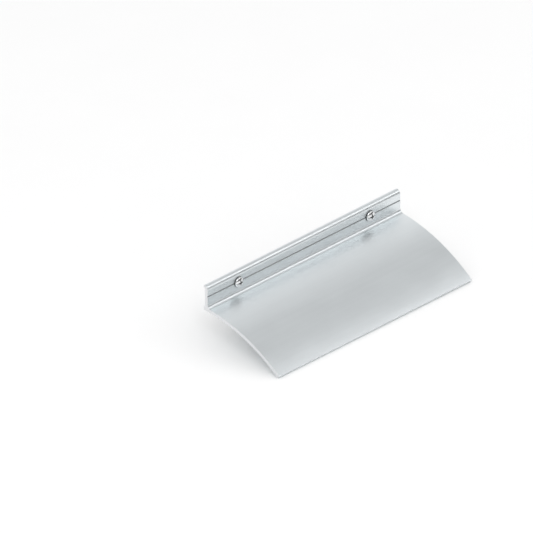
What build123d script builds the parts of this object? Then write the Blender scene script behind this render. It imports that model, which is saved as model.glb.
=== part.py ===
from build123d import *
import os
from math import asin, cos, degrees, radians, sin, sqrt, tan

# Drip strip: one extruded length and its two fixing screws.
# Millimetres. X runs along the strip, -Y points out from the mounting plane and +Z points up.
# The origin lies on the mounting plane, midway between the screws and level with them.

# Strip
strip_length = 204.0
flange_thickness = 3.0
relief_depth = 1.2
lip_thickness = 2.0
lip_height = 8.8
bend_inner_radius = 0.8
heel_face_height = 2.4
heel_ramp_rise = 2.2
heel_ramp_radius = 0.8
edge_radius = 0.3

# Canopy
projection = 80.0
canopy_thickness = 2.7
canopy_radius = 135.0
canopy_start_slope = 2.8
canopy_depth_below_screws = 10.0
canopy_root_radius = 3.6
drip_edge_radius = 0.5

# Guide groove that centres the drill on the screw line
groove_depth = 0.6
groove_angle = 90.0

# Screws
screw_inset = 32.5
thread_diameter = 4.2
core_diameter = 3.1
screw_length = 13.0
point_length = 3.7
point_flat_diameter = 0.5
hole_clearance = 0.4
head_diameter = 8.2
head_height = 3.05
head_crown_radius = 6.5
head_shoulder_radius = 0.9

# Cross recess
recess_span = 5.2
recess_depth = 2.3
recess_floor_diameter = 1.0
wing_width = 1.15
wing_draft = 5.0
recess_core_width = 2.0

# Worked out from the sizes above
stand_off = flange_thickness + relief_depth
bend_inner = min(bend_inner_radius, 0.9 * (relief_depth - edge_radius))
bend_outer = bend_inner + flange_thickness
hole_radius = thread_diameter / 2 + hole_clearance
screw_reach = strip_length / 2 - screw_inset
screw_places = (-screw_reach, screw_reach)
groove_half_width = groove_depth * tan(radians(groove_angle / 2))
under_radius = canopy_radius - canopy_thickness
canopy_centre_out = stand_off - canopy_radius * sin(radians(canopy_start_slope))
canopy_centre_up = -canopy_depth_below_screws - canopy_radius * cos(radians(canopy_start_slope))
heel_bottom = canopy_centre_up + sqrt(under_radius**2 - canopy_centre_out**2)


def at(out, up):
    """A point of the section, by its distance out from the mounting plane and its height."""
    return (-out, up)


def canopy_slope(radius, out):
    """The slope in degrees of a canopy face at a distance out from the mounting plane."""
    return degrees(asin((out - canopy_centre_out) / radius))


def canopy_point(radius, slope):
    """The point of a canopy face where it has the given slope."""
    return at(
        canopy_centre_out + radius * sin(radians(slope)),
        canopy_centre_up + radius * cos(radians(slope)),
    )


def canopy_arc(radius, first_slope, last_slope):
    """A canopy face from one slope to another, about the centre that both faces share."""
    centre = at(canopy_centre_out, canopy_centre_up)
    return CenterArc(centre, radius, 90 + first_slope, last_slope - first_slope)


def rounded(face, point, radius):
    """The face with the corner nearest to a point rounded."""
    return fillet(face.vertices().sort_by_distance((*point, 0))[0], radius)


def strip_section():
    """The strip's section, drawn with Y to the right and Z up."""
    edge_slope = canopy_slope(canopy_radius, projection)
    heel_slope = canopy_slope(under_radius, 0)

    heel_low = at(0, heel_bottom)
    heel_top = at(0, heel_bottom + heel_face_height)
    ramp_top = at(relief_depth, heel_bottom + heel_face_height + heel_ramp_rise)
    inner_bend = at(relief_depth, lip_height - lip_thickness)
    lip_low = at(0, lip_height - lip_thickness)
    lip_top = at(0, lip_height)
    outer_bend = at(stand_off, lip_height)
    groove_top = at(stand_off, groove_half_width)
    groove_floor = at(stand_off - groove_depth, 0)
    groove_low = at(stand_off, -groove_half_width)
    canopy_root = at(stand_off, -canopy_depth_below_screws)
    drip_top = canopy_point(canopy_radius, edge_slope)
    drip_low = canopy_point(under_radius, edge_slope)

    outline = Polyline(
        heel_low, heel_top, ramp_top, inner_bend, lip_low, lip_top,
        outer_bend, groove_top, groove_floor, groove_low, canopy_root,
    )
    outline += canopy_arc(canopy_radius, canopy_start_slope, edge_slope)
    outline += Line(drip_top, drip_low)
    outline += canopy_arc(under_radius, heel_slope, edge_slope)
    face = make_face(outline)

    face = rounded(face, canopy_root, canopy_root_radius)
    face = rounded(face, outer_bend, bend_outer)
    face = rounded(face, inner_bend, bend_inner)
    face = rounded(face, ramp_top, heel_ramp_radius)
    for corner in (drip_top, drip_low):
        face = rounded(face, corner, drip_edge_radius)
    for corner in (heel_low, heel_top, lip_low, lip_top):
        face = rounded(face, corner, edge_radius)
    return face


def drip_extrusion():
    """One extruded length with a clearance hole for each screw."""
    strip = extrude(Plane.YZ * strip_section(), strip_length / 2, both=True)
    for x in screw_places:
        hole = Cylinder(hole_radius, 2 * stand_off, rotation=(90, 0, 0))
        strip -= Pos(x, -stand_off, 0) * hole
    return strip


def turned_screw():
    """The screw without its recess, with its seat at Y = 0 and its point towards +Y."""
    head_radius = head_diameter / 2
    core_radius = core_diameter / 2
    thread_radius = thread_diameter / 2
    side_height = head_height - head_crown_radius + sqrt(head_crown_radius**2 - head_radius**2)
    crown_angle = degrees(asin(head_radius / head_crown_radius))
    shoulder = (head_radius, -side_height)

    outline = Polyline(
        (0, -head_height), (0, screw_length), (point_flat_diameter / 2, screw_length),
        (thread_radius, screw_length - point_length), (thread_radius, stand_off),
        (core_radius, stand_off), (core_radius, 0), (head_radius, 0), shoulder,
    )
    crown_centre = (0, head_crown_radius - head_height)
    outline += CenterArc(crown_centre, head_crown_radius, -90, crown_angle)
    half = rounded(make_face(outline), shoulder, head_shoulder_radius)
    return revolve(half, Axis.Y)


def cross_recess():
    """The tapered cross that a driver fits, with its mouth at Z = 0 and its floor below."""
    wing = extrude(Rectangle(recess_span, wing_width), -recess_depth, taper=wing_draft)
    core_mouth = Rot(0, 0, 45) * Rectangle(recess_core_width, recess_core_width)
    core = extrude(core_mouth, -recess_depth, taper=wing_draft)
    cone = Cone(
        recess_floor_diameter / 2, recess_span / 2, recess_depth,
        align=(Align.CENTER, Align.CENTER, Align.MAX),
    )
    return (wing + Rot(0, 0, 90) * wing + core) & cone


def screw():
    """A pan-head screw with its seat at Y = 0. The thread's crests are its plain shank."""
    recess = Pos(0, -head_height, 0) * Rot(90, 0, 0) * cross_recess()
    return turned_screw() - recess


parts = {"drip_extrusion": drip_extrusion()}
for name, x in zip(("screw_left", "screw_right"), screw_places):
    parts[name] = Pos(x, -stand_off, 0) * screw()

os.makedirs("parts", exist_ok=True)
for name, solid in parts.items():
    export_step(solid, f"parts/{name}.step")
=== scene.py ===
from math import asin, atan2, ceil, cos, pi, radians, sin, sqrt, tan

import bpy
from mathutils import Matrix, Vector


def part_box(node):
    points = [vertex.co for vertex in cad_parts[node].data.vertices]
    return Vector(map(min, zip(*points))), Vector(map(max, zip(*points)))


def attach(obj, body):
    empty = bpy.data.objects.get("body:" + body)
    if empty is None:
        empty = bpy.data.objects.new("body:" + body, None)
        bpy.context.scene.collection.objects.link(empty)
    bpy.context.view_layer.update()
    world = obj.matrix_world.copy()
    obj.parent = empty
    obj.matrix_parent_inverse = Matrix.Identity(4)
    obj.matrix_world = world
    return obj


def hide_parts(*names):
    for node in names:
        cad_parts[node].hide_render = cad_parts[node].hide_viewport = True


# A drip strip and its two screws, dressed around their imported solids.
# Metres. X runs along the strip, -Y points out from the mounting plane and +Z points up.

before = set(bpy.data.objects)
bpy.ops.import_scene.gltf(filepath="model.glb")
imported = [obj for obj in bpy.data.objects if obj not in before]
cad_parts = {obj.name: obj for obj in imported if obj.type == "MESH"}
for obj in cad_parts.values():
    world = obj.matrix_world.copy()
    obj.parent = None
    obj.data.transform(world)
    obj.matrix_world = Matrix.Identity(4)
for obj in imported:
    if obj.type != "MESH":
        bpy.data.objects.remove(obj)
bpy.context.view_layer.update()

MM = 0.001

# Mesh: how far a chord leaves its arc, how many sides a turned or drilled round has and steps a
# small rounding, how near two points are one, which edges are sharp, and how much the larger faces
# weigh in the shading, where 50 is neutral
CHORD_ERROR = 0.002 * MM
ROUND_SIDES = 96
EDGE_STEPS = 3
MERGE_DISTANCE = 0.002 * MM
SHARP_ANGLE = radians(35)
SMOOTH_ANGLE = radians(40)
FACE_WEIGHT = 60

# Strip section, by distance out from the mounting plane and height over the screws
STRIP_LOW, STRIP_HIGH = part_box("drip_extrusion")
STAND_OFF = 4.2 * MM
RELIEF_DEPTH = 1.2 * MM
LIP_THICKNESS = 2.0 * MM
LIP_HEIGHT = STRIP_HIGH.z
BEND_INNER = 0.8 * MM
BEND_OUTER = BEND_INNER + STAND_OFF - RELIEF_DEPTH
HEEL_FACE_HEIGHT = 2.4 * MM
HEEL_RAMP_RISE = 2.2 * MM
GROOVE_DEPTH = 0.6 * MM
GROOVE_HALF_WIDTH = 0.6 * MM
PROJECTION = 80.0 * MM
CANOPY_THICKNESS = 2.7 * MM
CANOPY_RADIUS = 135.0 * MM
CANOPY_START_SLOPE = radians(2.8)
CANOPY_DEPTH_BELOW_SCREWS = 10.0 * MM
CANOPY_ROOT_RADIUS = 3.6 * MM
DRIP_EDGE_RADIUS = 0.5 * MM
EDGE_RADIUS = 0.3 * MM
HOLE_RADIUS = 2.5 * MM
HEEL_RAMP_RADIUS = 0.8 * MM
GROOVE_EDGE_RADIUS = 0.15 * MM
SAW_EDGE = 0.16 * MM

# Screws
SCREW_NODES = ("screw_left", "screw_right")
SCREW_PLACES = [(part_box(node)[0].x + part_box(node)[1].x) / 2 for node in SCREW_NODES]
SCREW_LENGTH = 13.0 * MM
THREAD_RADIUS = 2.1 * MM
CORE_RADIUS = 1.55 * MM
THREAD_PITCH = 1.4 * MM
THREAD_START = 0
THREAD_TURNS = 6
THREAD_SIDES = 48
THREAD_FOOT = 0.75 * MM
THREAD_CREST = 0.12 * MM
THREAD_SINK = 0.12 * MM
RUN_OUT_TURNS = 0.6
RUN_OUT_RADIUS = CORE_RADIUS - 0.06 * MM
RUN_OUT_STEPS = 12
POINT_STEPS = 32
POINT_LENGTH = 3.7 * MM
POINT_FLAT_RADIUS = 0.2 * MM
HEAD_RADIUS = 4.1 * MM
HEAD_HEIGHT = 3.05 * MM
HEAD_CROWN_RADIUS = 6.5 * MM
HEAD_SHOULDER_RADIUS = 0.9 * MM
HEAD_SEAT_RADIUS = 0.18 * MM
CROWN_END = radians(86)
RECESS_SPAN = 5.2 * MM
RECESS_DEPTH = 2.3 * MM
RECESS_FLOOR_RADIUS = 0.5 * MM
WING_WIDTH = 1.15 * MM
WING_DRAFT = radians(5)
RECESS_CORE_WIDTH = 2.0 * MM
RECESS_EDGE = 0.07 * MM
CROWN_TOLERANCE = 0.02 * MM
CUTTER_SPARE = 0.3 * MM

# Marks on the sawn ends: arcs about the saw's spindle, which lay below and in front of the strip.
# At scale 1 the ring texture goes through that many radians of its wave in each metre
SAW_SPINDLE = Vector((0, -60, -160)) * MM
SAW_MARK_PITCH = 0.65 * MM
WAVE_TURN = 20

# Aluminium: colours from dark to light, how large the features of each noise are, how deep the
# relief is, how far in from its end the strip looks sawn, and how far behind the groove's floor and
# past each edge the painted shade in the groove and the painted shadow round the heads fade
SATIN_COLOURS = ((0.745, 0.783, 0.80, 1), (0.82, 0.858, 0.875, 1))
SAWN_COLOURS = ((0.69, 0.705, 0.72, 1), (0.80, 0.81, 0.82, 1))
# This dark colour is painted shade: it darkens the groove and a ring round each screw head.
ALUMINIUM_PAINTED_SHADE = (0.07, 0.075, 0.08, 1)
BROAD_LINE = (400 * MM, 2.4 * MM, 2.4 * MM)
FINE_LINE = (150 * MM, 0.5 * MM, 0.5 * MM)
ETCH_GRAIN = (0.16 * MM, 0.16 * MM, 0.16 * MM)
HANDLING_MARK = (38 * MM, 16 * MM, 16 * MM)
LINE_DEPTH = 0.012 * MM
SAW_MARK_DEPTH = 0.02 * MM
SAWN_FADE = (0.9 * SAW_EDGE, 0.2 * SAW_EDGE)
# The next four place the painted shade in the groove and the painted shadow round each head.
BEHIND_GROOVE = (0.3 * MM, 0.1 * MM)
GROOVE_SHADE_FADE = 0.23 * MM
HEAD_SHADOW_FADE = 0.6 * MM
HEAD_WIDE_SHADOW_FADE = 2.2 * MM

# Screw steel: the same, with how deep under the crown the recess has painted shade, and how high
# over the seat and how far in from the rim the painted shade at the head's foot reaches
PLATE_COLOURS = ((0.80, 0.82, 0.86, 1), (0.90, 0.90, 0.87, 1))
SHANK_COLOUR = (0.62, 0.62, 0.60, 1)
# This dark colour is painted shade, in the recess and at the head's foot.
STEEL_PAINTED_SHADE = (0.05, 0.055, 0.06, 1)
PLATE_CLOUD = (1.6 * MM, 1.6 * MM, 1.6 * MM)
PLATE_PIT = (0.14 * MM, 0.14 * MM, 0.14 * MM)
DRIVER_SCUFF = (1.2 * MM, 1.2 * MM, 0.06 * MM)
SCUFF_DEPTH = 0.008 * MM
# The next four place the painted shade in the recess and at the head's foot.
UNDER_CROWN = (0.3 * MM, 0.06 * MM)
RECESS_SHADE_FADE = 0.2 * MM
FOOT_HEIGHT = (0.6 * MM, 1.3 * MM)
FOOT_WIDTH = (1.1 * MM, 0.7 * MM)
SEAT_FADE = 0.1 * MM

# Floor
FLOOR_COLOURS = ((0.92, 0.92, 0.92, 1), (0.94, 0.94, 0.94, 1))
FLOOR_GRAIN = (60 * MM, 60 * MM, 60 * MM)
FLOOR_SIZE = 12
FLOOR_GAP = 0.05 * MM

# The Mix node's sockets for colours, which share their names with those for other kinds
MIX_SHARE, MIX_FIRST, MIX_SECOND, MIX_RESULT = 0, 6, 7, 2

# Picture: a square parallel view, this many pixels wide, with one pixel this wide on the object
PHOTO_SIZE = 533
PIXEL = 0.748 * MM
VIEW_AZIMUTH = radians(-45)
VIEW_ELEVATION = radians(30.2)
CORNER_PIXEL = (203.6, 285.0)
CAMERA_DISTANCE = 1.5

# Studio: two grey panels in a white surround, one overhead and one low in front. A pair says
# where an edge fades, by how high or how far back a direction points, and a drop says how much
# darker than white the panel is
OVERHEAD_LOW_EDGE = (0.5, 0.7)
OVERHEAD_FRONT_EDGE = (-0.5, -0.4)
OVERHEAD_BACK_EDGE = (0.18, 0.48)
OVERHEAD_DROP = 0.43
FRONT_LOW_EDGE = (0, 0.12)
FRONT_HIGH_EDGE = (0.35, 0.45)
FRONT_BACK_EDGE = (-0.3, -0.1)
FRONT_DROP = 0.9
EVEN_LIGHT = 0.95


def deselect():
    """Leaves nothing selected, so that an operator acts on the new piece alone."""
    if bpy.context.mode != "OBJECT":
        bpy.ops.object.mode_set(mode="OBJECT")
    bpy.ops.object.select_all(action="DESELECT")


def select_only(piece):
    """Makes one piece the selected and active one."""
    deselect()
    piece.select_set(True)
    bpy.context.view_layer.objects.active = piece


def select_none(piece):
    """Outside edit mode, takes the selection off every face, edge and vertex."""
    for parts in (piece.data.polygons, piece.data.edges, piece.data.vertices):
        parts.foreach_set("select", [False] * len(parts))


def pick(piece, wanted):
    """In edit mode, selects the vertices whose place passes a test, and what lies between them."""
    bpy.ops.object.mode_set(mode="OBJECT")
    select_none(piece)
    for vertex in piece.data.vertices:
        vertex.select = wanted(piece.matrix_world @ vertex.co)
    bpy.ops.object.mode_set(mode="EDIT")
    bpy.ops.mesh.select_mode(type="VERT")


def settle(piece):
    """Leaves edit mode and puts the piece's place into its mesh."""
    select_only(piece)
    bpy.ops.object.transform_apply(location=True, rotation=True, scale=True)


def apply_modifier(piece, kind, **settings):
    """Adds a modifier, sets it and applies it."""
    select_only(piece)
    modifier = piece.modifiers.new(kind.lower(), kind)
    for name, value in settings.items():
        setattr(modifier, name, value)
    bpy.ops.object.modifier_apply(modifier=modifier.name)


def combine(piece, other, operation):
    """Cuts one closed piece with another, joins them or keeps what they share."""
    apply_modifier(piece, "BOOLEAN", object=other, operation=operation, solver="EXACT")
    bpy.data.objects.remove(other, do_unlink=True)
    merge_close(piece)


def merge_close(piece):
    """Merges the points that a cut leaves almost on top of each other."""
    select_only(piece)
    bpy.ops.object.mode_set(mode="EDIT")
    bpy.ops.mesh.select_all(action="SELECT")
    bpy.ops.mesh.remove_doubles(threshold=MERGE_DISTANCE)
    bpy.ops.mesh.select_all(action="SELECT")
    bpy.ops.mesh.dissolve_degenerate(threshold=MERGE_DISTANCE)
    bpy.ops.object.mode_set(mode="OBJECT")


def finish_edges(piece, width):
    """Rounds the sharp edges a little and shades the faces smooth up to them."""
    apply_modifier(
        piece, "BEVEL", width=width, segments=EDGE_STEPS, limit_method="ANGLE",
        angle_limit=SHARP_ANGLE, use_clamp_overlap=False, harden_normals=True,
    )
    select_only(piece)
    bpy.ops.object.shade_smooth_by_angle(angle=SMOOTH_ANGLE)
    apply_modifier(piece, "WEIGHTED_NORMAL", keep_sharp=True, weight=FACE_WEIGHT)


def round_mouth(piece, x):
    """Rounds the edge of the recess where it breaks through the crown."""
    centre = Vector((x, HEAD_CROWN_RADIUS - HEAD_HEIGHT - STAND_OFF, 0))

    def on_crown(edge):
        """Whether both ends of an edge lie on the crown."""
        ends = [piece.data.vertices[index].co for index in edge.vertices]
        reach = min((end - centre).length for end in ends)
        return reach > HEAD_CROWN_RADIUS - CROWN_TOLERANCE

    select_only(piece)
    bpy.ops.object.mode_set(mode="EDIT")
    bpy.ops.mesh.select_mode(type="EDGE")
    bpy.ops.mesh.select_all(action="DESELECT")
    bpy.ops.mesh.edges_select_sharp(sharpness=SHARP_ANGLE)
    bpy.ops.object.mode_set(mode="OBJECT")
    mouth = [edge for edge in piece.data.edges if edge.select and on_crown(edge)]
    select_none(piece)
    for edge in mouth:
        edge.select = True
    bpy.ops.object.mode_set(mode="EDIT")
    bpy.ops.mesh.bevel(
        offset=RECESS_EDGE, segments=EDGE_STEPS, affect="EDGES", clamp_overlap=False,
    )
    bpy.ops.mesh.select_mode(type="VERT")
    bpy.ops.object.mode_set(mode="OBJECT")


def steps_round(radius, turn):
    """How many straight steps an arc takes to stay that near to round."""
    return ceil(abs(turn) / sqrt(8 * CHORD_ERROR / radius))


class Pen:
    """Draws a closed outline in a plane across X by extruding one vertex from point to point."""

    def __init__(self, name, x, start):
        deselect()
        self.x = x
        self.here = Vector((x, -start[0], start[1]))
        bpy.ops.mesh.primitive_plane_add(size=MM, location=self.here)
        self.piece = bpy.context.object
        self.piece.name = name
        bpy.ops.object.mode_set(mode="EDIT")
        bpy.ops.mesh.select_all(action="SELECT")
        bpy.ops.mesh.merge(type="CENTER")

    def line(self, out, up):
        """A straight edge to a point."""
        there = Vector((self.x, -out, up))
        bpy.ops.mesh.extrude_region_move(TRANSFORM_OT_translate={"value": there - self.here})
        self.here = there

    def arc(self, centre, turn):
        """An arc about a centre. A positive turn goes from +Z to -Y, from up to out."""
        middle = Vector((self.x, -centre[0], centre[1]))
        arm = self.here - middle
        steps = steps_round(arm.length, turn)
        bpy.ops.mesh.spin(steps=steps, angle=turn, center=middle, axis=(-1, 0, 0))
        self.here = middle + Matrix.Rotation(turn, 3, "X") @ arm

    def round_corner(self, corner, radius, turn):
        """Rounds the corner of the filled outline at a point, where it turns by an angle."""
        place = Vector((self.x, -corner[0], corner[1]))
        pick(self.piece, lambda vertex: (vertex - place).length < MERGE_DISTANCE)
        bpy.ops.mesh.bevel(
            offset=radius * tan(turn / 2), offset_type="OFFSET", affect="VERTICES",
            segments=steps_round(radius, turn), clamp_overlap=False,
        )

    def fill(self):
        """Closes the outline and fills it with one face."""
        bpy.ops.mesh.select_all(action="SELECT")
        bpy.ops.mesh.remove_doubles(threshold=MERGE_DISTANCE)
        bpy.ops.mesh.select_all(action="SELECT")
        bpy.ops.mesh.edge_face_add()


def canopy_geometry():
    """The centre of the canopy's faces, and the slopes at its drip edge and at its heel."""
    centre = (
        STAND_OFF - CANOPY_RADIUS * sin(CANOPY_START_SLOPE),
        -CANOPY_DEPTH_BELOW_SCREWS - CANOPY_RADIUS * cos(CANOPY_START_SLOPE),
    )
    under_radius = CANOPY_RADIUS - CANOPY_THICKNESS
    edge_slope = asin((PROJECTION - centre[0]) / CANOPY_RADIUS)
    heel_slope = asin(-centre[0] / under_radius)
    return centre, under_radius, edge_slope, heel_slope


def strip():
    """The extruded length: its section drawn, extruded and drilled, with fine edges all over."""
    centre, under_radius, edge_slope, heel_slope = canopy_geometry()
    heel_bottom = centre[1] + under_radius * cos(heel_slope)
    heel_top = heel_bottom + HEEL_FACE_HEIGHT
    reach = CANOPY_RADIUS + CANOPY_ROOT_RADIUS
    root_centre = (
        STAND_OFF + CANOPY_ROOT_RADIUS,
        centre[1] + sqrt(reach**2 - (STAND_OFF + CANOPY_ROOT_RADIUS - centre[0]) ** 2),
    )
    root_slope = asin((root_centre[0] - centre[0]) / reach)
    lip_low = LIP_HEIGHT - LIP_THICKNESS

    drip_high = (PROJECTION, centre[1] + CANOPY_RADIUS * cos(edge_slope))
    drip_low = (
        centre[0] + under_radius * sin(edge_slope),
        centre[1] + under_radius * cos(edge_slope),
    )
    ramp_turn = atan2(RELIEF_DEPTH, HEEL_RAMP_RISE)

    pen = Pen("strip", STRIP_LOW.x, (0, heel_bottom))
    pen.line(0, heel_top)
    pen.line(RELIEF_DEPTH, heel_top + HEEL_RAMP_RISE)
    pen.line(RELIEF_DEPTH, lip_low - BEND_INNER)
    pen.arc((RELIEF_DEPTH - BEND_INNER, lip_low - BEND_INNER), -pi / 2)
    pen.line(0, lip_low)
    pen.line(0, LIP_HEIGHT)
    pen.line(STAND_OFF - BEND_OUTER, LIP_HEIGHT)
    pen.arc((STAND_OFF - BEND_OUTER, LIP_HEIGHT - BEND_OUTER), pi / 2)
    pen.line(STAND_OFF, GROOVE_HALF_WIDTH)
    pen.line(STAND_OFF - GROOVE_DEPTH, 0)
    pen.line(STAND_OFF, -GROOVE_HALF_WIDTH)
    pen.line(STAND_OFF, root_centre[1])
    pen.arc(root_centre, root_slope - pi / 2)
    pen.arc(centre, edge_slope - root_slope)
    pen.line(*drip_low)
    pen.arc(centre, heel_slope - edge_slope)
    pen.fill()

    pen.round_corner((0, heel_bottom), EDGE_RADIUS, pi / 2)
    pen.round_corner((0, heel_top), EDGE_RADIUS, ramp_turn)
    pen.round_corner((RELIEF_DEPTH, heel_top + HEEL_RAMP_RISE), HEEL_RAMP_RADIUS, ramp_turn)
    pen.round_corner((0, lip_low), EDGE_RADIUS, pi / 2)
    pen.round_corner((0, LIP_HEIGHT), EDGE_RADIUS, pi / 2)
    pen.round_corner((STAND_OFF, GROOVE_HALF_WIDTH), GROOVE_EDGE_RADIUS, pi / 4)
    pen.round_corner((STAND_OFF - GROOVE_DEPTH, 0), GROOVE_EDGE_RADIUS, pi / 2)
    pen.round_corner((STAND_OFF, -GROOVE_HALF_WIDTH), GROOVE_EDGE_RADIUS, pi / 4)
    pen.round_corner(drip_high, DRIP_EDGE_RADIUS, pi / 2)
    pen.round_corner(drip_low, DRIP_EDGE_RADIUS, pi / 2)

    piece = pen.piece
    bpy.ops.mesh.select_all(action="SELECT")
    length = STRIP_HIGH.x - STRIP_LOW.x
    bpy.ops.mesh.extrude_region_move(TRANSFORM_OT_translate={"value": (length, 0, 0)})
    bpy.ops.mesh.select_all(action="SELECT")
    bpy.ops.mesh.normals_make_consistent(inside=False)
    settle(piece)
    for x in SCREW_PLACES:
        combine(piece, drill(x), "DIFFERENCE")
    finish_edges(piece, SAW_EDGE)
    return piece


def drill(x):
    """A cutter for one clearance hole through the flange."""
    deselect()
    bpy.ops.mesh.primitive_cylinder_add(
        vertices=ROUND_SIDES, radius=HOLE_RADIUS, depth=4 * STAND_OFF,
        location=(x, -STAND_OFF / 2, 0), rotation=(pi / 2, 0, 0),
    )
    return bpy.context.object


class Turning:
    """A body of revolution about an axis along Y, extruded from ring to ring of vertices."""

    def __init__(self, name, axis_x, radius, y):
        deselect()
        self.axis_x = axis_x
        self.radius = radius
        self.y = y
        bpy.ops.mesh.primitive_circle_add(
            vertices=ROUND_SIDES, radius=radius, fill_type="NOTHING",
            location=(axis_x, y, 0), rotation=(pi / 2, 0, 0),
        )
        self.piece = bpy.context.object
        self.piece.name = name
        bpy.ops.object.mode_set(mode="EDIT")
        bpy.ops.mesh.select_all(action="SELECT")

    def ring(self, radius, y):
        """Extrudes the last ring to a new place along the axis and a new radius."""
        bpy.ops.mesh.extrude_region_move(TRANSFORM_OT_translate={"value": (0, y - self.y, 0)})
        grow = radius / self.radius
        bpy.ops.transform.resize(value=(grow, 1, grow), center_override=(self.axis_x, y, 0))
        self.radius = radius
        self.y = y

    def arc(self, centre_radius, centre_y, radius, start, end):
        """Rings along an arc of the profile. Angle 0 points off the axis, a right angle to -Y."""
        steps = steps_round(radius, end - start)
        for step in range(1, steps + 1):
            angle = start + (end - start) * step / steps
            self.ring(centre_radius + radius * cos(angle), centre_y - radius * sin(angle))

    def close(self):
        """Gathers the last ring into one vertex on the axis."""
        bpy.ops.mesh.merge(type="CENTER")


def head_profile():
    """Where the head's side, shoulder and crown arcs meet, from the seat at Y = 0 towards -Y."""
    crown_y = HEAD_CROWN_RADIUS - HEAD_HEIGHT
    reach = HEAD_CROWN_RADIUS - HEAD_SHOULDER_RADIUS
    shoulder_radius = HEAD_RADIUS - HEAD_SHOULDER_RADIUS
    shoulder_y = crown_y - sqrt(reach**2 - shoulder_radius**2)
    crown_slope = asin(shoulder_radius / reach)
    return crown_y, shoulder_radius, shoulder_y, pi / 2 - crown_slope


def screw_blank(name, x):
    """The screw before its recess and thread: head, core and point, as one closed turning."""
    seat = -STAND_OFF
    crown_y, shoulder_radius, shoulder_y, crown_start = head_profile()
    tip = seat + SCREW_LENGTH

    head = Turning(name, x, POINT_FLAT_RADIUS, tip)
    bpy.ops.mesh.edge_face_add()
    bpy.ops.mesh.select_all(action="SELECT")
    head.ring(CORE_RADIUS, tip - POINT_LENGTH)
    head.ring(CORE_RADIUS, seat)
    seat_radius = HEAD_RADIUS - HEAD_SEAT_RADIUS
    head.ring(seat_radius, seat)
    head.arc(seat_radius, seat - HEAD_SEAT_RADIUS, HEAD_SEAT_RADIUS, -pi / 2, 0)
    head.ring(HEAD_RADIUS, seat + shoulder_y)
    head.arc(shoulder_radius, seat + shoulder_y, HEAD_SHOULDER_RADIUS, 0, crown_start)
    head.arc(0, seat + crown_y, HEAD_CROWN_RADIUS, crown_start, CROWN_END)
    head.close()
    piece = head.piece
    bpy.ops.mesh.select_all(action="SELECT")
    bpy.ops.mesh.normals_make_consistent(inside=False)
    settle(piece)
    return piece


def tapered_bar(x, width, height, turn):
    """A bar of the recess, from above the crown down to the floor, narrower at the floor."""
    deselect()
    mouth = -STAND_OFF - HEAD_HEIGHT
    middle = mouth + (RECESS_DEPTH - CUTTER_SPARE) / 2
    bpy.ops.mesh.primitive_cube_add(size=1, location=(x, middle, 0))
    piece = bpy.context.object
    spread = 2 * CUTTER_SPARE * tan(WING_DRAFT)
    piece.scale = (width + spread, RECESS_DEPTH + CUTTER_SPARE, height + spread)
    settle(piece)
    shrink = 2 * (RECESS_DEPTH + CUTTER_SPARE) * tan(WING_DRAFT)
    pick(piece, lambda vertex: vertex.y > mouth)
    bpy.ops.transform.resize(
        value=(1 - shrink / width, 1, 1 - shrink / height), center_override=(x, 0, 0),
    )
    settle(piece)
    piece.location.x -= x
    settle(piece)
    piece.rotation_euler.y = turn
    piece.location.x = x
    settle(piece)
    return piece


def recess_cutter(x):
    """The tapered cross that a driver fits."""
    cutter = tapered_bar(x, RECESS_SPAN, WING_WIDTH, 0)
    combine(cutter, tapered_bar(x, RECESS_SPAN, WING_WIDTH, pi / 2), "UNION")
    combine(cutter, tapered_bar(x, RECESS_CORE_WIDTH, RECESS_CORE_WIDTH, pi / 4), "UNION")
    middle = (RECESS_DEPTH - CUTTER_SPARE) / 2 - STAND_OFF - HEAD_HEIGHT
    slope = (RECESS_SPAN / 2 - RECESS_FLOOR_RADIUS) / RECESS_DEPTH
    mouth_radius = RECESS_SPAN / 2 + CUTTER_SPARE * slope
    deselect()
    bpy.ops.mesh.primitive_cone_add(
        vertices=ROUND_SIDES, radius1=mouth_radius, radius2=RECESS_FLOOR_RADIUS,
        depth=RECESS_DEPTH + CUTTER_SPARE,
        location=(x, middle, 0), rotation=(-pi / 2, 0, 0),
    )
    combine(cutter, bpy.context.object, "INTERSECT")
    return cutter


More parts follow.
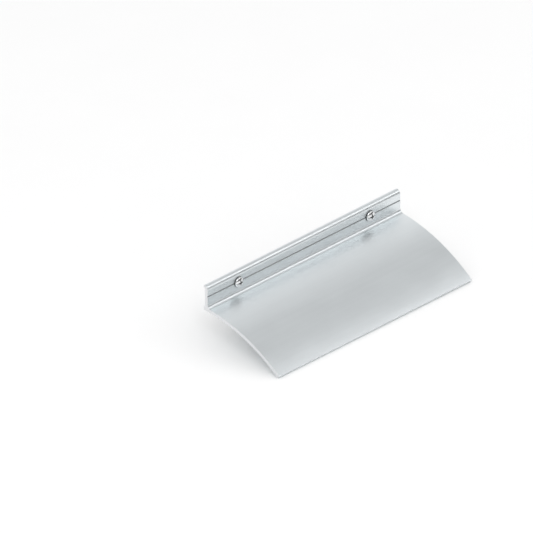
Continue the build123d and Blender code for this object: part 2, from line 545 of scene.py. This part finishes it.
def thread_ridge(name, x):
    """The rolled thread: a wedge swept along a helix, with its run-out and its taper."""
    tip = SCREW_LENGTH - STAND_OFF
    deselect()
    bpy.ops.mesh.primitive_plane_add(size=MM, location=(x, THREAD_START, 0))
    piece = bpy.context.object
    piece.name = name
    bpy.ops.object.mode_set(mode="EDIT")
    bpy.ops.mesh.select_all(action="SELECT")
    bpy.ops.mesh.merge(type="CENTER")
    foot, crest = CORE_RADIUS - THREAD_SINK, THREAD_RADIUS
    wedge = [
        Vector((foot, -THREAD_FOOT / 2, 0)),
        Vector((crest, -THREAD_CREST / 2, 0)),
        Vector((crest, THREAD_CREST / 2, 0)),
        Vector((foot, THREAD_FOOT / 2, 0)),
    ]
    bpy.ops.transform.translate(value=wedge[0])
    for here, there in zip(wedge, wedge[1:]):
        bpy.ops.mesh.extrude_region_move(TRANSFORM_OT_translate={"value": there - here})
    bpy.ops.mesh.select_all(action="SELECT")
    bpy.ops.mesh.edge_face_add()
    bpy.ops.mesh.delete(type="ONLY_FACE")
    apply_modifier(
        piece, "SCREW", axis="Y", angle=2 * pi, screw_offset=THREAD_PITCH,
        iterations=THREAD_TURNS, steps=THREAD_SIDES, render_steps=THREAD_SIDES,
        use_smooth_shade=False,
    )
    bpy.ops.object.mode_set(mode="EDIT")
    bpy.ops.mesh.select_all(action="SELECT")
    bpy.ops.mesh.remove_doubles(threshold=MERGE_DISTANCE)
    bpy.ops.mesh.select_all(action="SELECT")
    bpy.ops.mesh.fill_holes(sides=len(wedge))
    bpy.ops.mesh.select_all(action="SELECT")
    bpy.ops.mesh.normals_make_consistent(inside=False)
    settle(piece)

    def turned(vertex):
        """How many turns along the helix a vertex lies."""
        angle = atan2(-vertex.z, vertex.x - x) / (2 * pi)
        return angle + round((vertex.y - THREAD_START) / THREAD_PITCH - angle)

    def reached(vertex):
        """How far along the screw a vertex lies."""
        return vertex.y

    run_out_share = RUN_OUT_RADIUS / THREAD_RADIUS
    point_share = POINT_FLAT_RADIUS / CORE_RADIUS
    taper(piece, x, turned, RUN_OUT_TURNS, 0, run_out_share, RUN_OUT_STEPS)
    taper(piece, x, reached, tip - POINT_LENGTH, tip, point_share, POINT_STEPS)
    settle(piece)
    return piece


def taper(piece, x, measure, start, end, share, steps):
    """Draws the piece in towards the screw's axis, a little at each step of what is measured."""
    shares = [1 - (1 - share) * step / steps for step in range(steps + 1)]
    for step in range(steps):
        limit = start + (end - start) * (step + 0.5) / steps
        pick(piece, lambda vertex: (measure(vertex) - limit) * (end - start) > 0)
        ratio = shares[step + 1] / shares[step]
        bpy.ops.transform.resize(value=(ratio, 1, ratio), center_override=(x, 0, 0))


def screw(name, x):
    """A pan-head screw: turned blank, pressed recess, rolled thread."""
    piece = screw_blank(name, x)
    combine(piece, recess_cutter(x), "DIFFERENCE")
    round_mouth(piece, x)
    combine(piece, thread_ridge("ridge", x), "UNION")
    select_only(piece)
    bpy.ops.object.shade_smooth_by_angle(angle=SMOOTH_ANGLE)
    return piece


def copied(piece, name, along):
    """A copy of a piece with its own mesh, that far along the strip."""
    select_only(piece)
    bpy.ops.object.duplicate_move(TRANSFORM_OT_translate={"value": (along, 0, 0)})
    copy = bpy.context.object
    copy.name = name
    settle(copy)
    return copy


class Level:
    """A number that varies over a surface. Arithmetic on it adds Math nodes."""

    def __init__(self, finish, socket):
        self.finish = finish
        self.socket = socket

    def __add__(self, other):
        return self.finish.maths("ADD", self, other)

    def __sub__(self, other):
        return self.finish.maths("SUBTRACT", self, other)

    def __rsub__(self, other):
        return self.finish.maths("SUBTRACT", other, self)

    def __mul__(self, other):
        return self.finish.maths("MULTIPLY", self, other)

    def __abs__(self):
        return self.finish.maths("ABSOLUTE", self, 0)

    __radd__ = __add__
    __rmul__ = __mul__


class Finish:
    """A node tree of a material or of the world, written as expressions on its levels."""

    def __init__(self, owner):
        owner.use_nodes = True
        self.owner = owner
        self.tree = owner.node_tree
        self.tree.nodes.clear()

    def node(self, kind, settings=None, sockets=None):
        """Adds a node: its settings first, then a value or a link for each of its sockets."""
        made = self.tree.nodes.new(kind)
        for name, value in (settings or {}).items():
            setattr(made, name, value)
        for name, value in (sockets or {}).items():
            if isinstance(value, Level):
                self.tree.links.new(value.socket, made.inputs[name])
            else:
                made.inputs[name].default_value = value
        return made

    def level(self, kind, settings=None, sockets=None, output=0):
        """Adds a node and gives one of its outputs."""
        return Level(self, self.node(kind, settings, sockets).outputs[output])

    def maths(self, operation, first, second):
        """A Math node on two numbers."""
        return self.level("ShaderNodeMath", {"operation": operation}, {0: first, 1: second})

    def place(self, kind="Object"):
        """Where a point lies, or where a ray of the world points, with its X, Y and Z."""
        spot = self.level("ShaderNodeTexCoord", output=kind)
        split = self.node("ShaderNodeSeparateXYZ", None, {"Vector": spot})
        return spot, *(Level(self, socket) for socket in split.outputs)

    def distance(self, along_x, along_y, along_z):
        """How long a vector is."""
        arm = self.level("ShaderNodeCombineXYZ", None, {"X": along_x, "Y": along_y, "Z": along_z})
        return self.level("ShaderNodeVectorMath", {"operation": "LENGTH"}, {0: arm}, "Value")

    def step(self, value, start, end):
        """0 below the start, 1 above the end and smooth between them."""
        return self.level(
            "ShaderNodeMapRange", {"interpolation_type": "SMOOTHSTEP"},
            {"Value": value, "From Min": start, "From Max": end},
        )

    def between(self, value, low_edge, high_edge):
        """1 between two edges, each of which fades from its start to its end."""
        return self.step(value, *low_edge) * (1 - self.step(value, *high_edge))

    def mix(self, share, first, second):
        """From one colour to another."""
        return self.level(
            "ShaderNodeMix", {"data_type": "RGBA"},
            {MIX_SHARE: share, MIX_FIRST: first, MIX_SECOND: second}, MIX_RESULT,
        )

    def noise(self, spot, size, detail=2, rough=0.5):
        """Noise about 0.5, with features of about that size in metres along each axis."""
        scale = tuple(1 / width for width in size)
        spread = self.level("ShaderNodeMapping", None, {"Vector": spot, "Scale": scale})
        return self.level(
            "ShaderNodeTexNoise", None,
            {"Vector": spread, "Scale": 1.0, "Detail": detail, "Roughness": rough},
        )

    def bump(self, height, distance, under=None):
        """The normal of a relief of that height in metres."""
        sockets = {"Height": height, "Distance": distance, "Strength": 1.0}
        if under:
            sockets["Normal"] = under
        return self.level("ShaderNodeBump", None, sockets)

    def surface(self, sockets):
        """Ends a material in one shader and gives the material."""
        shader = self.level("ShaderNodeBsdfPrincipled", None, sockets)
        self.node("ShaderNodeOutputMaterial", None, {"Surface": shader})
        return self.owner


def satin_aluminium():
    """Satin anodised aluminium: die lines, sawn ends, painted shade in the groove and round the
    heads.
    """
    finish = Finish(bpy.data.materials.new("satin_aluminium"))
    spot, x, y, z = finish.place()

    broad_lines = finish.noise(spot, BROAD_LINE, detail=3)
    fine_lines = finish.noise(spot, FINE_LINE)
    etch = finish.noise(spot, ETCH_GRAIN)
    handling = finish.noise(spot, HANDLING_MARK, detail=4, rough=0.6)

    sawn = finish.step(abs(x), *(STRIP_HIGH.x - inset for inset in SAWN_FADE))
    from_spindle = finish.level(
        "ShaderNodeMapping", None, {"Vector": spot, "Location": -SAW_SPINDLE},
    )
    saw_marks = finish.level(
        "ShaderNodeTexWave",
        {"wave_type": "RINGS", "rings_direction": "X", "wave_profile": "SIN"},
        {
            "Vector": from_spindle, "Scale": 2 * pi / (WAVE_TURN * SAW_MARK_PITCH),
            "Distortion": 1.6, "Detail": 2.0, "Detail Scale": 3.0,
        },
    )

    # Painted shade: the groove on the flange's front is darkened into a shadow line.
    groove_floor = STAND_OFF - GROOVE_DEPTH
    groove_mouth = GROOVE_HALF_WIDTH - GROOVE_EDGE_RADIUS
    front = finish.step(0 - y, *(groove_floor - behind for behind in BEHIND_GROOVE))
    groove_shade = (1 - finish.step(abs(z), groove_mouth, groove_mouth + GROOVE_SHADE_FADE)) * front
    # Painted shadow of each head on the flange: a dark ring at its foot and a faint one further
    # out.
    from_screw = finish.distance(abs(x) - SCREW_PLACES[1], 0, z)
    head_contact_shadow = (1 - finish.step(from_screw, HEAD_RADIUS, HEAD_RADIUS + HEAD_SHADOW_FADE)) * front
    head_wide_shadow = (1 - finish.step(from_screw, HEAD_RADIUS, HEAD_RADIUS + HEAD_WIDE_SHADOW_FADE)) * front
    head_shadow = finish.maths("MAXIMUM", head_contact_shadow * 0.8, head_wide_shadow * 0.15)
    # All of this is painted shade, its strength varied by the handling marks.
    painted_shade = finish.maths("MAXIMUM", groove_shade * 0.85, head_shadow) * (0.64 + handling * 0.4)

    tone = broad_lines * 0.5 + handling * 0.5
    satin = finish.mix(tone, *SATIN_COLOURS)
    bare = finish.mix(saw_marks, *SAWN_COLOURS)
    with_painted_shade = finish.mix(painted_shade, satin, ALUMINIUM_PAINTED_SHADE)
    relief = broad_lines * 0.6 + fine_lines * 0.3 + etch * 0.1
    lines = finish.bump(relief * (1 - sawn), LINE_DEPTH)
    marks = finish.bump(saw_marks * sawn, SAW_MARK_DEPTH, lines)
    satin_rough = 0.36 + (fine_lines - 0.5) * 0.12 + (handling - 0.5) * 0.14 + painted_shade * 0.25
    return finish.surface({
        "Base Color": finish.mix(sawn, with_painted_shade, bare),
        "Metallic": 1 - painted_shade * 0.6,
        "Roughness": satin_rough * (1 - sawn) + (0.30 + saw_marks * 0.1) * sawn,
        "Normal": marks,
    })


def plated_steel():
    """Bright plated steel, scuffed by the driver, painted shade in its recess and at its foot,
    duller in the thread.
    """
    finish = Finish(bpy.data.materials.new("plated_steel"))
    spot, x, y, z = finish.place()

    tint = finish.noise(spot, PLATE_CLOUD)
    pits = finish.noise(spot, PLATE_PIT, detail=3)
    scuffs = finish.noise(spot, DRIVER_SCUFF, detail=3)

    off_axis = abs(x) - SCREW_PLACES[1]
    from_axis = finish.distance(off_axis, 0, z)
    crown_y = HEAD_CROWN_RADIUS - HEAD_HEIGHT - STAND_OFF
    from_crown = finish.distance(off_axis, y - crown_y, z)
    over_seat = 0 - y - STAND_OFF
    head = finish.step(over_seat, 0, SEAT_FADE)
    shank = 1 - head
    reach = RECESS_SPAN / 2
    # Painted shade: the recess and the head's foot, where it meets the strip, are darkened.
    inside = 1 - finish.step(from_crown, *(HEAD_CROWN_RADIUS - depth for depth in UNDER_CROWN))
    recess = inside * (1 - finish.step(from_axis, reach, reach + RECESS_SHADE_FADE)) * head
    low = 1 - finish.step(over_seat, *FOOT_HEIGHT)
    foot = low * finish.step(from_axis, *(HEAD_RADIUS - width for width in FOOT_WIDTH)) * head
    painted_shade = finish.maths("MAXIMUM", recess * 0.9, foot) * (0.8 + pits * 0.3)

    plate = finish.mix(tint, *PLATE_COLOURS)
    with_painted_shade = finish.mix(painted_shade, plate, STEEL_PAINTED_SHADE)
    rough = 0.16 + (pits - 0.5) * 0.12 + (scuffs - 0.5) * 0.14 + shank * 0.14 + painted_shade * 0.3
    return finish.surface({
        "Base Color": finish.mix(shank, with_painted_shade, SHANK_COLOUR),
        "Metallic": 1 - painted_shade * 0.5,
        "Roughness": rough,
        "Normal": finish.bump(pits * 0.5 + scuffs * 0.5, SCUFF_DEPTH),
    })


def pale_floor():
    """A pale matt floor that keeps the object's shadow."""
    finish = Finish(bpy.data.materials.new("pale_floor"))
    spot, *_ = finish.place()
    grain = finish.noise(spot, FLOOR_GRAIN, detail=3)
    return finish.surface({
        "Base Color": finish.mix(grain, *FLOOR_COLOURS),
        "Roughness": 0.9,
        "Specular IOR Level": 0.1,
    })


def dress(piece, material, slot, *nodes):
    """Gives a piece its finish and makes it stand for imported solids."""
    piece.data.materials.clear()
    piece.data.materials.append(material)
    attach(piece, "root")
    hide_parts(*nodes)


def view_axes():
    """The picture's right and up directions, and the way back to the camera."""
    right = Vector((cos(VIEW_AZIMUTH), sin(VIEW_AZIMUTH), 0))
    back = Vector((
        sin(VIEW_AZIMUTH) * cos(VIEW_ELEVATION),
        -cos(VIEW_AZIMUTH) * cos(VIEW_ELEVATION),
        sin(VIEW_ELEVATION),
    ))
    return right, back.cross(right), back


def camera():
    """A parallel camera, set so that the strip's top corner falls on its pixel."""
    right, up, back = view_axes()
    corner = Vector((STRIP_LOW.x, 0, STRIP_HIGH.z))
    across = (PHOTO_SIZE / 2 - CORNER_PIXEL[0]) * PIXEL
    down = (PHOTO_SIZE / 2 - CORNER_PIXEL[1]) * PIXEL
    data = bpy.data.cameras.new("camera")
    data.type = "ORTHO"
    data.ortho_scale = PHOTO_SIZE * PIXEL
    made = bpy.data.objects.new("camera", data)
    made.location = corner + right * across - up * down + back * CAMERA_DISTANCE
    made.rotation_mode = "QUATERNION"
    made.rotation_quaternion = (-back).to_track_quat("-Z", "Y")
    bpy.context.collection.objects.link(made)
    bpy.context.scene.camera = made


def softbox(name, toward, distance, size, power):
    """A flat lamp that looks at the strip from a direction."""
    data = bpy.data.lights.new(name, "AREA")
    data.shape = "RECTANGLE"
    data.size, data.size_y = size
    data.energy = power
    made = bpy.data.objects.new(name, data)
    toward = Vector(toward).normalized()
    made.location = toward * distance
    made.rotation_mode = "QUATERNION"
    made.rotation_quaternion = (-toward).to_track_quat("-Z", "Y")
    bpy.context.collection.objects.link(made)


def studio():
    """The floor, the soft lamps and a world that the camera sees as white."""
    deselect()
    bpy.ops.mesh.primitive_plane_add(size=FLOOR_SIZE, location=(0, 0, STRIP_LOW.z - FLOOR_GAP))
    floor = bpy.context.object
    floor.name = "floor"
    settle(floor)
    floor.data.materials.append(pale_floor())

    softbox("key", toward=(-0.5, -0.45, 0.74), distance=1.8, size=(0.8, 0.8), power=6)
    softbox("front", toward=(0.61, -0.54, 0.58), distance=2.2, size=(1.4, 0.36), power=2.1)
    bpy.context.scene.world = studio_world()
    bpy.context.scene.view_settings.view_transform = "Standard"


def studio_world():
    """Even light on what is matt, and for metal a white surround with two grey panels in it."""
    finish = Finish(bpy.data.worlds.new("studio"))
    _, _, back, height = finish.place("Generated")
    overhead = finish.between(back, OVERHEAD_FRONT_EDGE, OVERHEAD_BACK_EDGE)
    overhead *= finish.step(height, *OVERHEAD_LOW_EDGE)
    front = finish.between(height, FRONT_LOW_EDGE, FRONT_HIGH_EDGE)
    front *= 1 - finish.step(back, *FRONT_BACK_EDGE)
    brightness = 1 - overhead * OVERHEAD_DROP - front * FRONT_DROP
    camera_ray = finish.level("ShaderNodeLightPath", output="Is Camera Ray")
    glossy_ray = finish.level("ShaderNodeLightPath", output="Is Glossy Ray")
    clear_ray = finish.level("ShaderNodeLightPath", output="Is Transmission Ray")
    shows = finish.maths("MAXIMUM", finish.maths("MAXIMUM", camera_ray, glossy_ray), clear_ray)
    white = (1, 1, 1, 1)
    even = finish.level("ShaderNodeBackground", None, {"Color": white, "Strength": EVEN_LIGHT})
    surround = finish.level(
        "ShaderNodeBackground", None, {"Color": white, "Strength": brightness},
    )
    both = finish.level("ShaderNodeMixShader", None, {0: shows, 1: even, 2: surround})
    finish.node("ShaderNodeOutputWorld", None, {"Surface": both})
    return finish.owner


camera()
dress(strip(), satin_aluminium(), "aluminium", "drip_extrusion")
left_screw = screw("threaded_screw_left", SCREW_PLACES[0])
right_screw = copied(left_screw, "threaded_screw_right", SCREW_PLACES[1] - SCREW_PLACES[0])
steel = plated_steel()
for piece, node in zip((left_screw, right_screw), SCREW_NODES):
    dress(piece, steel, "screw_steel", node)
studio()

bpy.context.view_layer.update()
